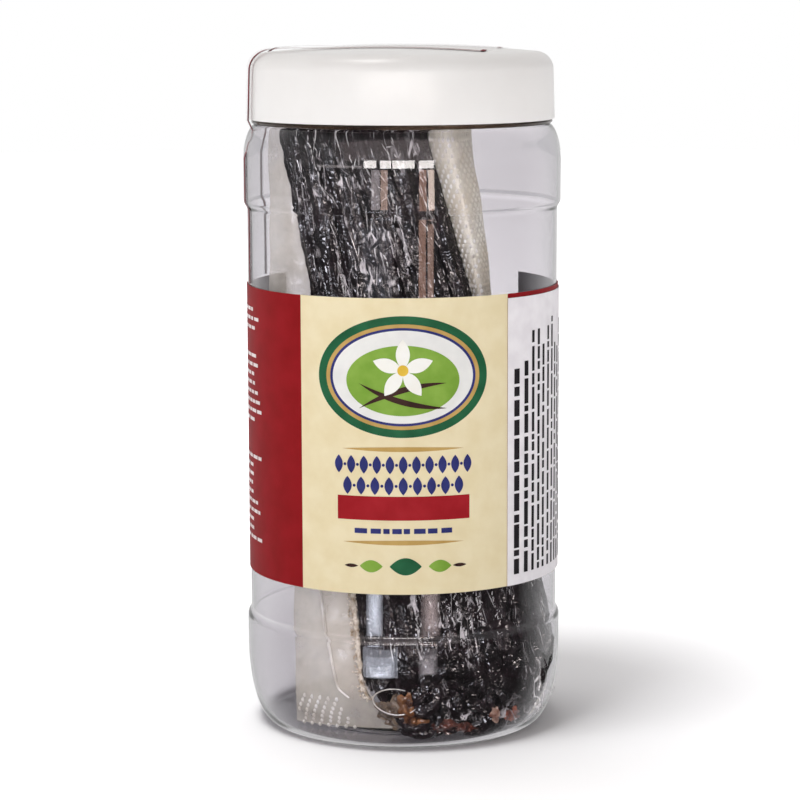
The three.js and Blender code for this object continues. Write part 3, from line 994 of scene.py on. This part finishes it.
def make_pods():
    """The long pods on a core that fills the bundle, and the curled ends in a skin of their own."""
    skin = pod_skin("cured_vanilla_pod_under_film", "#0B0709", "#22161B", 1.0, 0.5)
    end_skin = pod_skin("curled_vanilla_pod_under_film", "#0B0709", "#261A1F", 0.8, 0.4)
    z = np.linspace(BUNDLE_LOW_Z + 1.5, BUNDLE_HIGH_Z - 8, 60)[:, None]
    angle = round_angles(48)[None, :]
    core = tube(in_bundle(angle, z, POD_HALF_THICK + 0.3))
    curls = [pod(path, out, thick * 1.25, thick, 400 + 5 * i, 20)
             for i, (path, out, thick) in enumerate(curled_paths())]
    piece("vanilla_pods", long_pods() + [core], [skin], ["pods"])
    piece("curled_pod_ends", curls, [end_skin])


def front_of_bundle(x, z):
    """Points on the front face of the bundle at places given by x and z."""
    angle = np.linspace(-np.pi, 0, 181)
    points = []
    for x_now, z_now in np.broadcast(x, z):
        ring = in_bundle(angle, np.full(181, z_now), 0.0)
        front = ring[np.argsort(ring[:, 0])]
        points.append([x_now, np.interp(x_now, front[:, 0], front[:, 1]), z_now])
    return np.array(points)


def torn_patch(x, z, half_x, half_z, ahead, seed):
    """A small crumpled sheet of ragged outline, pressed flat in front of the bundle's foot.

    It is a disc in polar form whose radius wanders with the angle; its depth wanders over the disc."""
    angle = np.linspace(0, 2 * np.pi, 41)[None, :]
    share = np.linspace(0.02, 1, 12)[:, None]
    ragged = share * (1 + 0.28 * share * ripples(np.cos(angle) * 3, np.sin(angle) * 3, 2.6, 5, seed))
    across, up = half_x * ragged * np.cos(angle), half_z * ragged * np.sin(angle)
    crumple = 0.7 * ripples(across, up, 2.4, 6, seed + 1) - 1.2 * (1 - share ** 2)
    front = front_of_bundle((x + across).ravel(), np.maximum(2.2, z + up).ravel()).reshape(*across.shape, 3)
    front[..., 1] += crumple - ahead
    return slab(inside_jar(front, 0.6), 0.3)


def make_torn_skin():
    """Patches of torn skin and juice at the foot, at their places from left to right."""
    patches = {
        "tan": ("#4A3A32", "#94806C", [(-3.0, 9.0, 4.4, 4.6, 0.8), (-0.6, 4.8, 4.6, 2.4, 1.4)]),
        "orange": ("#44261A", "#A06A3E", [(0.6, 11.0, 2.6, 3.8, 2.4), (2.6, 7.0, 3.0, 1.8, 2.4)]),
        "brown": ("#2A1614", "#7E4638", [(10.8, 5.0, 4.6, 2.2, 2.0), (17.0, 4.4, 2.8, 1.6, 2.0)]),
        "pale": ("#7A4032", "#E6C6B2", [(25.2, 7.8, 1.4, 2.4, 2.0), (38.2, 21.0, 0.9, 2.6, 1.0)]),
        "red": ("#5A2418", "#BC6040", [(31.5, 6.6, 2.8, 2.2, 2.0)]),
    }
    for number, (name, (low, high, places)) in enumerate(patches.items()):
        shells = [torn_patch(*place, 50 + 10 * number + i) for i, place in enumerate(places)]
        piece("torn_skin_" + name, shells, [torn_skin("torn_pod_skin_" + name, low, high)])


# Pouch

def slivers(middles, ways, outs, lengths, widths):
    """Many thin closed spindles at once: seven rings of four points along a line.

    Their size falls with the square of the way from the middle to the tips."""
    count = len(middles)
    share = np.linspace(-1, 1, 7)[None, :, None, None]
    side = np.cross(ways, outs)
    full = 1 - 0.93 * share ** 2
    corner = np.array([[1, 0], [0, 1], [-1, 0], [0, -1]], float)
    wide = (widths[:, None] * side)[:, None, None, :] * corner[:, 0, None] * full
    high = (widths[:, None] * 0.6 * outs)[:, None, None, :] * corner[:, 1, None] * full
    line = (lengths[:, None] / 2 * ways)[:, None, None, :] * share
    points = middles[:, None, None, :] + line + wide + high
    rings = share.shape[1]
    face = grid_quads(rings, 4, True)
    ends = np.array([[0, 1, 2, 3], [4 * rings - 1, 4 * rings - 2, 4 * rings - 3, 4 * rings - 4]])
    face = np.concatenate([face, ends])
    quads = (np.arange(count) * rings * 4)[:, None, None] + face
    return outward((points.reshape(-1, 3), quads.reshape(-1, 4), np.zeros((0, 3), int)))


def crease_glint_rows(random):
    """Angles, heights, lengths, half widths and tilts of creases, drawn as painted glints, in rows that run
    along the bundle.
    """
    rows = []
    for i in range(CREASE_GLINT_ROWS):
        beads = random.uniform() < 0.4
        gap = 1.9 if beads else random.uniform(3.0, 6.0)
        z = np.arange(BUNDLE_LOW_Z + 8, BUNDLE_HIGH_Z - 3, gap)
        z = z + random.uniform(-0.4, 0.4, len(z)) * gap
        angle = 2 * np.pi * (i + random.uniform()) / CREASE_GLINT_ROWS
        angle = angle + 0.05 * np.sin(random.uniform(0, 6) + z / 14)
        angle = angle + random.normal(0, 0.008, len(z))
        length = gap * (random.uniform(0.6, 1.1, len(z)) if beads else random.uniform(0.35, 1.5, len(z)))
        width = random.uniform(0.1, 0.22, len(z)) if beads else random.uniform(0.06, 0.16, len(z))
        tilt = random.normal(0, 0.28 if beads else 0.14, len(z))
        keep = ripples(angle * 20, z, 30.0, 6, 300 + i // 3) + random.normal(0, 0.4, len(z)) > 0.22
        rows.append(np.stack([angle, z, length, width, tilt])[:, keep])
    return np.concatenate(rows, axis=1)


def loose_crease_glints(random):
    """The same for creases, drawn as painted glints, that cross the rows at any place: scratches and
    ladder-like wrinkles.
    """
    count = LOOSE_CREASE_GLINTS
    long = random.uniform(0, 1, count) < 0.3
    length = np.where(long, random.uniform(5, 15, count), random.uniform(1.2, 3.2, count))
    tilt = np.where(long, random.normal(0, 0.35, count), random.normal(0, 0.9, count))
    width = np.where(long, random.uniform(0.05, 0.1, count), random.uniform(0.08, 0.18, count))
    angle, z = random.uniform(0, 2 * np.pi, count), random.uniform(BUNDLE_LOW_Z + 4, BUNDLE_HIGH_Z - 2, count)
    return np.stack([angle, z, length, width, tilt])


def beaded_glint_lines(random):
    """Dense rows of small beads of painted glint down the front of single pods, above the curled ends."""
    rows = []
    for x in (-3.1, 2.7, 11.6, 14.7, 17.5, 20.3, 25.3):
        z = np.arange(28 + random.uniform(-2, 4), 62, 0.4)
        ring = np.linspace(-np.pi, 0, 181)
        front = in_bundle(ring, np.full(181, 42.0), 0.0)
        angle = np.interp(x, front[:, 0], ring) + random.normal(0, 0.02, len(z))
        rows.append(np.stack([
            angle, z, random.uniform(0.4, 1.3, len(z)), random.uniform(0.07, 0.22, len(z)),
            random.normal(0, 0.7, len(z))]))
    return np.concatenate(rows, axis=1)


def hull_crease_glints(marks):
    """Spindles of painted glint on the bundle's hull, each along it but turned by its tilt about the way out.
    """
    angle, z, lengths, widths, tilt = marks
    middles = in_bundle(angle, z, 0.1)
    ways = unit(in_bundle(angle, z + 1, 0.1) - middles)
    outs = out_of_bundle(angle, z)
    outs = unit(outs - ways * (outs * ways).sum(1, keepdims=True))
    ways = ways * np.cos(tilt)[:, None] + np.cross(outs, ways) * np.sin(tilt)[:, None]
    return slivers(middles, ways, outs, lengths, widths)


def make_crease_glints():
    """All creases of the film, pale as painted glints, but those over the curled ends at the foot."""
    random = np.random.default_rng(97)
    marks = np.concatenate([crease_glint_rows(random), loose_crease_glints(random), beaded_glint_lines(random)], axis=1)
    above_curls = marks[1] > 24 + random.normal(0, 3, marks.shape[1])
    piece("film_creases", [hull_crease_glints(marks[:, above_curls])], [crease_glint_film()])


def make_hugging_film():
    """The film that hugs the bundle: the oval section with ripples drawn out along the pods.

    Short ripples crease it and longer ones let it sink between the pods; it widens at the foot."""
    angle = round_angles(300)[None, :]
    z = np.linspace(BUNDLE_LOW_Z + 0.5, BUNDLE_HIGH_Z + 2, 290)[:, None]
    _, _, half_width, half_depth, _ = section(z)
    girth = np.pi * (half_width + half_depth)
    s = angle / (2 * np.pi) * girth
    creases = ripples(s, 0.22 * z, 2.2, 9, 61)
    sag = ripples(s, 0.06 * z, 5.2, 5, 62)
    foot = 0.9 * smooth((38 - z) / 20)
    grid = in_bundle(angle, z, -0.25 - 0.2 * creases + 0.3 * sag - foot)
    piece("hugging_film", [tube(grid)], [hugging_film()], ["pouch"])


def flap_sheet(edge_low, edge_high, side, drift, root, back, bulge, seed, low, high, crumpled):
    """A flap of film whose rows run straight from the bundle's side to an outer edge.

    It bends back by the square of the way out, bulges forward by half a sine wave that fades in above
    the foot, and is crumpled by ripples that grow towards the edge."""
    z = np.linspace(low, high, 130)[:, None]
    out = np.linspace(0, 1, 40)[None, :]
    rise = (z - low) / (high - low)
    start = in_bundle(np.full(z.shape, root), z, 1.0)
    edge = mix(edge_low, edge_high, drift(rise)) + 0.25 * np.sin(z / 7.0) + 0.15 * np.sin(z / 2.9)
    x = mix(start[..., 0], edge, out)
    crumple = ripples(x, z, 16.0, 6, seed) + 0.35 * ripples(x, z, 5.0, 6, seed + 1)
    y = start[..., 1] + mix(back[0], back[1], rise) * out ** 2
    y = y - bulge * np.sin(np.pi * out) * smooth((z - 30) / 40)
    y = y + 0.5 * crumpled * crumple * out * side
    return inside_jar(joined(x, y, z), 0.3)


def between(points, share):
    """Points along a line of points at places counted in steps from its first point."""
    return np.stack([np.interp(share, np.arange(len(points)), points[:, i]) for i in range(3)], -1)


def thread(points, radius):
    """A thin closed round thread along a line of points, smoothed by a running mean of nine.

    Its radius falls off towards both ends as a power of half a sine wave."""
    path = between(points, np.linspace(0, len(points) - 1, 12 * len(points)))
    kernel = np.ones(9) / 9
    path = np.stack([np.convolve(np.pad(path[:, i], 4, "edge"), kernel, "valid") for i in range(3)], -1)
    along = unit(np.gradient(path, axis=0))
    side = unit(np.cross(along, [0.0, -1.0, 0.15]))
    up = np.cross(side, along)
    angle = round_angles(8)[None, :, None]
    ends = np.sin(np.linspace(0.12, np.pi - 0.12, len(path)))[:, None, None] ** 0.4
    ring = np.cos(angle) * side[:, None, :] + np.sin(angle) * up[:, None, :]
    return tube(path[:, None, :] + radius * ends * ring)


def crumbs_along(line):
    """Small crumbs at random places round a line, as spindles turned every way."""
    random = np.random.default_rng(67)
    count = CRUMBS
    middles = between(line, random.uniform(0, len(line) - 1, count))
    middles += random.normal(0, 1, (count, 3)) * np.array([0.75, 0.3, 0.3])
    tilt = random.uniform(0, np.pi, count)
    ways = np.stack([np.sin(tilt), np.zeros(count), np.cos(tilt)], -1)
    outs = np.broadcast_to([0.0, -1.0, 0.0], (count, 3))
    return slivers(middles, ways, outs, random.uniform(0.5, 1.3, count), random.uniform(0.1, 0.35, count))


def make_flaps():
    """Two flaps of pouch film beside the bundle, and a second layer with a sharp fold at the lower left."""
    plain = pouch_film("plain_pouch_film", "#D8D2C8", "#EEEAE0", 0.45)
    embossed = pouch_film("embossed_pouch_film", "#F0E8D6", "#FFFDF2", 0.72)
    left = flap_sheet(
        edge_low=-30.6, edge_high=-38.0, side=-1, drift=lambda rise: smooth((rise - 0.15) / 0.6),
        root=np.pi * 0.97, back=(9.0, 5.0), bulge=0.0, seed=71, low=2.2, high=184.0, crumpled=0.6)
    right = flap_sheet(
        edge_low=41.0, edge_high=17.6, side=1, drift=lambda rise: rise,
        root=-0.35, back=(3.0, 3.0), bulge=6.5, seed=81, low=4.0, high=183.0, crumpled=0.4)
    piece("pouch_flap_left", [slab(left, 0.3)], [plain])
    piece("pouch_flap_right", [slab(right, 0.3)], [embossed])
    bright = highlit_fold_film()
    make_fold(bright)
    wide = right[right[:, 0, 2] > 45]
    foot = left[left[:, 0, 2] < 11.5]
    # The dots on the ridge's left, lit side take the bright film as a painted highlight; those further right
    # keep the flap's own film.
    for name, sheet, from_share, to_share, film in (
            ("embossed_dots", wide, 0.12, 0.5, bright),
            ("embossed_dots_dim", wide, 0.5, 0.95, embossed),
            ("embossed_dots_foot", foot, 0.45, 0.97, bright)):
        piece(name, [dot_grid(sheet, from_share, to_share)], [film])


def make_fold(bright):
    """The layer behind the fold at the lower left, the bright lines along it and its grainy root."""
    fold = np.array([
        [-14.3, 11.0], [-18.2, 13.9], [-19.6, 19.6], [-21.8, 31.0], [-23.2, 41.7], [-24.0, 46.0]])
    z = np.linspace(11.5, 50.0, 60)[:, None]
    out = np.linspace(0, 1, 24)[None, :]
    start = in_bundle(np.full(z.shape, np.pi * 1.02), z, 0.5)
    x = mix(start[..., 0], np.interp(z, fold[:, 1], fold[:, 0]), out)
    y = start[..., 1] - 0.6 + 2.5 * out ** 2 + 0.3 * ripples(x, z, 9.0, 5, 91)
    layer = joined(x, y, z)
    film = pouch_film("folded_pouch_film", "#DED6CC", "#F2ECE2", 0.4)
    piece("pouch_inner_layer", [slab(layer, 0.25)], [film])
    line = layer[:, -1] + np.array([-0.1, -0.5, 0.0])
    grain = layer[:, 3] + np.array([0.0, -0.5, 0.0])
    angle = np.linspace(0.35 * np.pi, 1.85 * np.pi, 34)
    loop = front_of_bundle(-2.4 + 6.2 * np.cos(angle), 13.0 + 3.8 * np.sin(angle))
    loop[:, 1] -= 3.6
    piece("film_fold_lines", [thread(line[::4], 0.46), thread(loop, 0.2)], [bright])
    edge = [thread(grain[::4], 0.7), crumbs_along(grain)]
    piece("film_grainy_edge", edge, [speckled_film()])


def dot_grid(sheet, from_share, to_share):
    """Small raised dots in a diamond grid over part of the width of a flap, each a short wide spindle."""
    middles = []
    for k, z in enumerate(np.arange(sheet[0, 0, 2] + 0.5, sheet[-1, 0, 2], DOT_PITCH / 2)):
        row = sheet[np.abs(sheet[:, 0, 2] - z).argmin()]
        run = np.concatenate([[0], np.cumsum(np.linalg.norm(np.diff(row, axis=0), axis=1))])
        stops = np.arange(from_share * run[-1] + (k % 2) * DOT_PITCH / 2, to_share * run[-1], DOT_PITCH)
        middles.append(between(row, np.interp(stops, run, np.arange(len(row)))))
    middles = np.concatenate(middles) + np.array([0.0, -0.15, 0.0])
    count = len(middles)
    ways = np.broadcast_to([0.0, 0.0, 1.0], (count, 3))
    outs = np.broadcast_to([0.0, -1.0, 0.0], (count, 3))
    return slivers(middles, ways, outs, np.full(count, 2.6 * DOT_R), np.full(count, DOT_R))


# Stage

def linked(name, things, state):
    """A group of pieces that a lamp includes or excludes."""
    group = bpy.data.collections.new(name)
    for thing in things:
        group.objects.link(thing)
    for entry in group.collection_objects:
        entry.light_linking.link_state = state
    return group


def area_light(name, place, size, radiance, colour="#FFFFFF", target=(0.0, 0.0, 0.1), diffuse=True,
               glossy=True, spared=(), only=()):
    """A soft rectangular lamp of a given radiance.

    It neither lights nor is shaded by the pieces that it spares, and may light only some pieces."""
    data = bpy.data.lights.new(name, "AREA")
    data.shape = "RECTANGLE"
    data.size, data.size_y = size
    data.energy = math.pi * size[0] * size[1] * radiance
    data.color = linear(colour)[:3]
    lamp = bpy.data.objects.new(name, data)
    bpy.context.scene.collection.objects.link(lamp)
    lamp.location = place
    lamp.rotation_euler = (Vector(target) - Vector(place)).to_track_quat("-Z", "Y").to_euler()
    lamp.visible_camera = False
    lamp.visible_diffuse = diffuse
    lamp.visible_glossy = glossy
    if only:
        lamp.light_linking.receiver_collection = linked(name + "_lights", only, "INCLUDE")
    elif spared:
        lamp.light_linking.receiver_collection = linked(name + "_spares", spared, "EXCLUDE")
    if spared:
        lamp.light_linking.blocker_collection = linked(name + "_passes", spared, "EXCLUDE")


def window_light(name, from_angle, to_angle, low, high, radiance, colour, distance=PANE_DISTANCE):
    """An upright strip like a window pane, seen only in reflections; angles in degrees from the front."""
    angle = math.radians((from_angle + to_angle) / 2)
    middle = (low + high) / 2
    width = distance * math.radians(to_angle - from_angle)
    place = (distance * math.sin(angle), -distance * math.cos(angle), middle)
    area_light(name, place, (width, high - low), radiance, colour, (0, 0, middle), diffuse=False)


def soft_pane(name, from_angle, to_angle, low, high, radiance, colour):
    """A pane with soft edges: panes one inside the other, each a little nearer, that share its radiance."""
    insets = (0.0, 0.1, 0.2, 0.3, 0.4)
    for number, inset in enumerate(insets):
        turn, rise = inset * (to_angle - from_angle), inset * (high - low)
        window_light("%s_%d" % (name, number), from_angle + turn, to_angle - turn, low + rise, high - rise,
                     radiance / len(insets), colour, PANE_DISTANCE - PANE_STEP * number)


def make_windows():
    """The window panes that the jar's wall mirrors, and the softer ones that its foot mirrors."""
    panes = {
        "left_pane_dim": (-37.6, -21.3, 0.1, 0.145, 0.06, "#E6E4EA"),
        "left_pane_pale": (-20.5, -14.8, 0.124, 0.145, 2.4, "#F0E4E6"),
        "left_pane_warm": (-14.3, -9.7, 0.124, 0.145, 3.0, "#FFD9C6"),
        "left_pane_blue": (-27.4, -7.1, 0.09, 0.119, 0.25, "#DCE4F4"),
        "right_pane_warm": (11.1, 16.0, 0.09, 0.145, 2.2, "#FFC8B0"),
        "right_pane_cream": (17.3, 21.4, 0.124, 0.145, 6.5, "#FFE9DA"),
        "right_pane_pale": (17.3, 21.4, 0.09, 0.121, 2.4, "#FFD2BE"),
        "top_pane_0": (-25.5, -17.2, 0.152, 0.2, 9.0, "#FFFAF6"),
        "top_pane_1": (-14.6, -7.4, 0.152, 0.2, 9.0, "#FFFAF6"),
        "top_pane_2": (-6.6, 8.2, 0.152, 0.2, 9.0, "#FFFAF6"),
        "top_pane_3": (11.0, 21.4, 0.152, 0.2, 9.0, "#FFFAF6"),
        "low_line": (-60.0, -26.5, 0.152, 0.165, 1.4, "#FFF4F2"),
    }
    for name, pane in panes.items():
        window_light(name, *pane)
    low_panes = {
        "low_pane_left": (-26.0, -14.5, -0.04, -0.014, 9.0, "#ECF1FF"),
        "low_pane_left_wide": (-28.0, -4.0, -0.069, -0.043, 10.0, "#ECF1FF"),
        "low_pane_right": (12.0, 25.6, -0.04, -0.013, 3.6, "#FFE8E6"),
        "low_pane_right_wide": (10.0, 23.0, -0.06, -0.043, 4.0, "#F6EEF4"),
    }
    for name, pane in low_panes.items():
        soft_pane(name, *pane)


def make_lamps(jar, label, floor, inside):
    """Lamps for the floor alone, for all but the clear jar, for its contents, and a haze on its shoulder."""
    for name, place, side, radiance in (
            ("key_on_floor", (-0.23, -0.24, 1.13), 0.3, 30.0),
            ("back_key_on_floor", (-0.1, 0.17, 1.13), 0.4, 7.5),
            ("top_on_floor", (0.0, 0.05, 1.3), 2.6, 0.3)):
        area_light(name, place, (side, side), radiance, only=[floor])
    clear = [jar, floor]
    area_light("key_softbox", (-0.24, -0.13, 1.13), (0.3, 0.3), 10.0, "#FFFEFC", spared=clear)
    for name, place, side, radiance, colour in (
            ("top_softbox", (0.0, 0.5, 1.3), 1.4, 1.3, "#FFFFFF"),
            ("left_softbox", (-0.92, -0.77, 0.12), 0.8, 0.3, "#FBFCFF"),
            ("front_softbox", (-0.12, -1.18, 0.1), 0.8, 1.0, "#FFFBF8")):
        area_light(name, place, (side, side), radiance, colour, glossy=False, spared=clear)
    area_light("front_on_contents", (-0.1, -1.1, 0.3), (0.9, 0.8), 2.8, "#FFFDF8", glossy=False,
               spared=clear, only=inside)
    area_light("back_on_contents", (0.3, 1.2, 0.3), (0.9, 0.8), 4.5, "#FFFDFA", glossy=False,
               spared=clear, only=inside + [label])
    area_light("haze_softbox", (0.0, -1.3, 0.75), (2.6, 0.9), 0.6, "#F0DCDC", (0.0, 0.0, 0.16),
               diffuse=False, only=[jar])
    area_light("sparkle_left", (-0.5, -0.62, 0.5), (0.2, 0.4), 34.0, "#F4F6FF", diffuse=False,
               spared=clear, only=inside)
    area_light("sparkle_right", (0.45, -0.65, 0.42), (0.14, 0.3), 30.0, "#FFF4EE", diffuse=False,
               spared=clear, only=inside)


def make_stage(jar, label, inside):
    """A white floor, a surround that is white behind the jar and dim in front of it, and soft lamps."""
    floor_size, surround_r = 6.0, 2.9
    bpy.ops.mesh.primitive_plane_add(size=floor_size, location=(0, 0, -0.0002))
    floor = bpy.context.object
    floor.name = "studio_floor"
    floor.data.materials.append(floor_paper())
    bpy.ops.mesh.primitive_uv_sphere_add(segments=48, ring_count=24, radius=surround_r)
    surround = bpy.context.object
    surround.name = "studio_surround"
    surround.data.materials.append(surround_paper())
    surround.visible_diffuse = False
    surround.visible_shadow = False
    make_lamps(jar, label, floor, inside)
    make_windows()
    world = bpy.data.worlds.new("studio_world")
    world.use_nodes = True
    background = world.node_tree.nodes["Background"]
    background.inputs["Color"].default_value = linear("#C0B6B4")
    background.inputs["Strength"].default_value = 0.3
    bpy.context.scene.world = world


def make_camera():
    """The camera at its fitted place, tipped down and rolled a little."""
    data = bpy.data.cameras.new("camera")
    data.sensor_width = SENSOR
    data.lens = LENS
    camera = bpy.data.objects.new("camera", data)
    bpy.context.scene.collection.objects.link(camera)
    tilt = Matrix.Rotation(math.pi / 2 - CAMERA_DOWN, 4, "X") @ Matrix.Rotation(CAMERA_ROLL, 4, "Z")
    camera.matrix_world = Matrix.Translation(Vector(CAMERA_PLACE) * MM) @ tilt
    bpy.context.scene.camera = camera


CAP_BOTTOM_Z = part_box("cap")[0].z / MM
CAP_TOP_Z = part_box("cap")[1].z / MM
LABEL_LOW_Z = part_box("label")[0].z / MM
LABEL_HIGH_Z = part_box("label")[1].z / MM

make_camera()
jar_wall = make_jar()
make_neck_bead()
make_cap()
wrap_label = make_label()
make_sticker()
make_front_print()
make_side_print()
make_strip()
make_pods()
make_torn_skin()
make_hugging_film()
make_crease_glints()
make_flaps()
inside = [thing for thing in bpy.data.objects if thing.name.startswith(INSIDE)]
make_stage(jar_wall, wrap_label, inside)

scene = bpy.context.scene
scene.view_settings.view_transform = "Standard"
scene.cycles.max_bounces = 16
scene.cycles.transmission_bounces = 16
scene.cycles.transparent_max_bounces = 24
